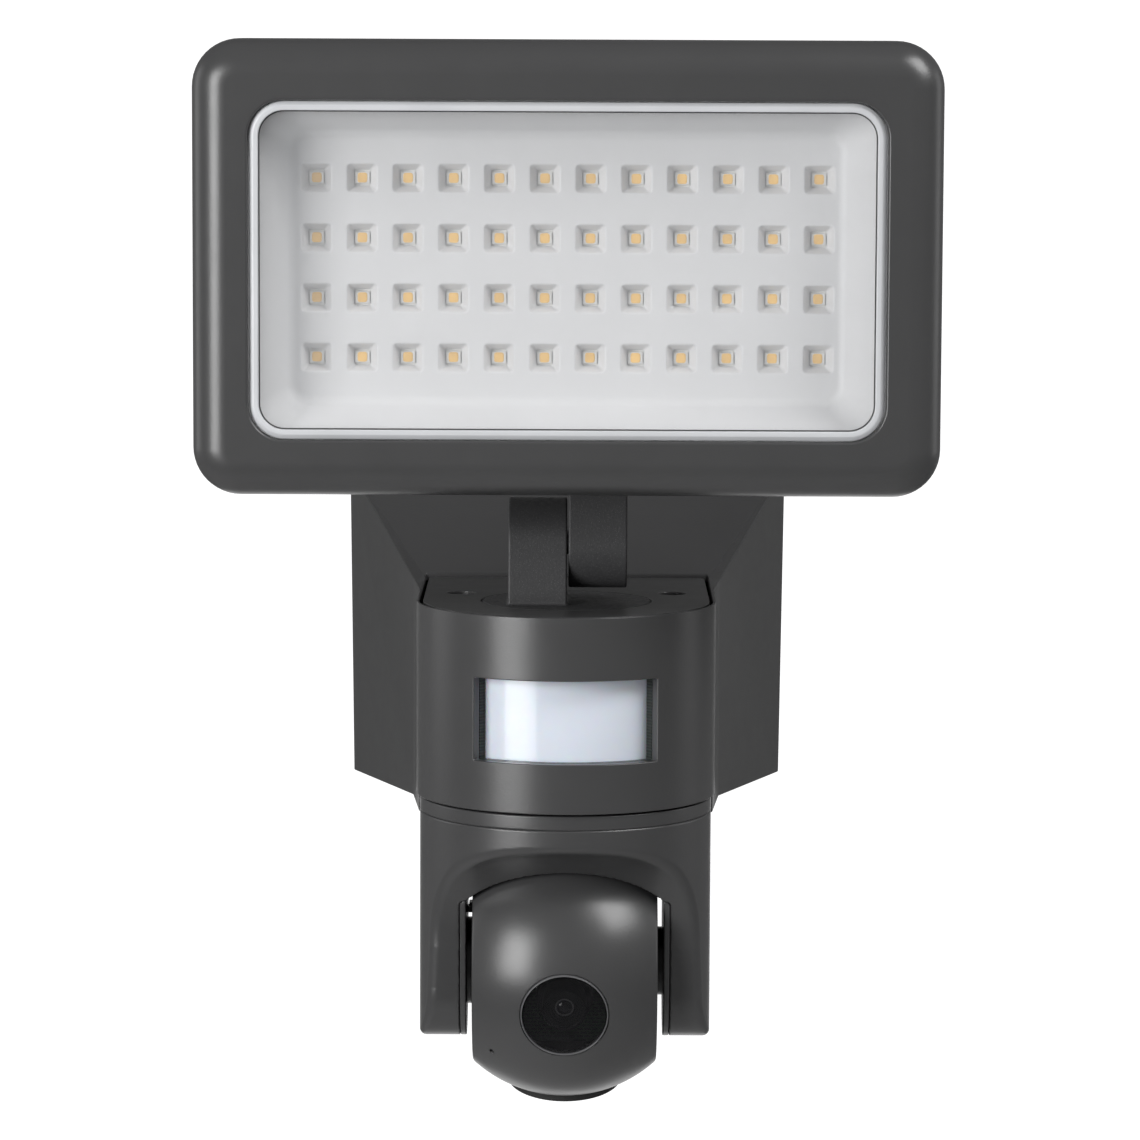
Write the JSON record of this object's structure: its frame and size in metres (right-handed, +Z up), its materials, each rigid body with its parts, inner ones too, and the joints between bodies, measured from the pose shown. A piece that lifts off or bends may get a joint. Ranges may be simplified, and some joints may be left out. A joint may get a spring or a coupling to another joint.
{
  "type": "floodlight security camera",
  "caption": "Wall floodlight with a swivelling LED lamp head, a motion sensor body and a camera ball that pans and tilts in a yoke below it.",
  "frame": {"origin": "centre of the four wall screw holes, on the wall face of the bracket", "axes": "+X to the right seen from the front, -Y out of the wall towards the viewer, +Z up"},
  "size_m": [0.1794, 0.153, 0.2662],
  "materials": {
    "dark_plastic": "fine satin moulded plastic, anthracite grey",
    "dark_casting": "die-cast aluminium, painted anthracite grey",
    "knuckle_paint": "cast aluminium with a speckled satin paint",
    "black_plastic": "smooth black plastic",
    "black_rubber": "soft black rubber",
    "seal_rubber": "pale silicone rubber",
    "window_glass": "clear toughened glass",
    "camera_glass": "black glossy window",
    "sensor_lens": "translucent white sensor lens",
    "sensor_frame": "dark ribbed frame",
    "silver_trim": "silver-grey painted ring",
    "reflector_white": "white moulded reflector",
    "led_white": "white LED package",
    "led_phosphor": "amber phosphor",
    "circuit_board": "lacquered circuit board",
    "white_nylon": "white nylon",
    "steel": "zinc-plated steel",
    "bare_aluminium": "bare aluminium",
    "copper_coil": "taped transformer",
    "capacitor_sleeve": "sleeved capacitor",
    "red_plastic": "red button"
  },
  "bodies": {
    "base": {"wall_bracket": "steel", "wall_seal": "black_rubber", "wall_box": "dark_plastic", "rear_plate": "dark_plastic", "rear_plate_screws": "steel", "bracket_screws": "steel", "cable_gland": "black_rubber", "terminal_block": "white_nylon", "power_board": "circuit_board", "transformer": "copper_coil", "capacitor": "capacitor_sleeve", "main_board": "circuit_board", "sensor_shell": "dark_plastic", "floor_plate": "dark_plastic", "pan_bush": "white_nylon", "sensor_frame": "sensor_frame", "sensor_lens": "sensor_lens", "sensor_board": "circuit_board", "motion_sensor": "steel", "pan_motor": "steel", "top_plate": "dark_plastic", "top_plate_screws": "black_plastic", "swivel_seal": "black_rubber"},
    "swivel": {"lower_knuckle": "knuckle_paint", "swivel_nut": "steel", "hinge_bolt": "steel", "hinge_washer": "steel"},
    "lamp_head": {"upper_knuckle": "knuckle_paint", "knuckle_screws": "steel", "head_housing": "dark_casting", "head_seal": "seal_rubber", "head_bezel": "dark_plastic", "trim_ring": "silver_trim", "cover_glass": "window_glass", "reflector": "reflector_white", "led_board": "led_white", "leds": "led_white", "led_phosphors": "led_phosphor", "heat_spreader": "bare_aluminium"},
    "camera_yoke": {"yoke_cap": "dark_plastic", "yoke": "dark_plastic", "arm_covers": "dark_plastic", "pan_gear": "white_nylon", "tilt_shaft_left": "black_plastic", "tilt_shaft_right": "black_plastic"},
    "camera_ball": {"ball_front": "dark_plastic", "ball_rear": "dark_plastic", "ball_screws": "steel", "lens_window": "camera_glass", "window_ring": "silver_trim", "lens_barrel": "black_plastic", "image_board": "circuit_board", "speaker": "black_plastic", "microphone": "steel", "tilt_motor": "steel", "card_socket": "steel", "card_cover": "black_rubber"},
    "pan_drive": {"pan_pinion": "white_nylon"},
    "tilt_drive": {"tilt_pinion": "white_nylon"},
    "reset_button": {"reset_button": "red_plastic"}
  },
  "joints": [
    {"name": "head_swivel", "type": "hinge", "parent": "base", "child": "swivel", "pos_m": [0, -0.102, 0.016], "axis": [0, 0, 1], "range_deg": [-45, 45]},
    {"name": "head_tilt", "type": "hinge", "parent": "swivel", "child": "lamp_head", "pos_m": [0, -0.102, 0.0306], "axis": [1, 0, 0], "range_deg": [-30, 40]},
    {"name": "camera_pan", "type": "hinge", "parent": "base", "child": "camera_yoke", "pos_m": [0, -0.102, -0.0328], "axis": [0, 0, 1], "range_deg": [-168, 168]},
    {"name": "camera_tilt", "type": "hinge", "parent": "camera_yoke", "child": "camera_ball", "pos_m": [0, -0.102, -0.0753], "axis": [1, 0, 0], "range_deg": [-37.5, 75]},
    {"name": "pan_pinion_spin", "type": "hinge", "parent": "base", "child": "pan_drive", "pos_m": [0, -0.08392, -0.028], "axis": [0, 0, 1], "range_deg": [-840, 840]},
    {"name": "tilt_pinion_spin", "type": "hinge", "parent": "camera_ball", "child": "tilt_drive", "pos_m": [0.0188, -0.08737, -0.07165], "axis": [1, 0, 0], "range_deg": [-150, 300]},
    {"name": "reset_press", "type": "slide", "parent": "camera_ball", "child": "reset_button", "axis": [0, -0.2419, 0.9703], "range_m": [0, 0.0005], "stiffness_N_per_m": 400}
  ],
  "couplings": [
    {"joint": "pan_pinion_spin", "follows": "camera_pan", "ratio": -5},
    {"joint": "tilt_pinion_spin", "follows": "camera_tilt", "ratio": 4}
  ]
}
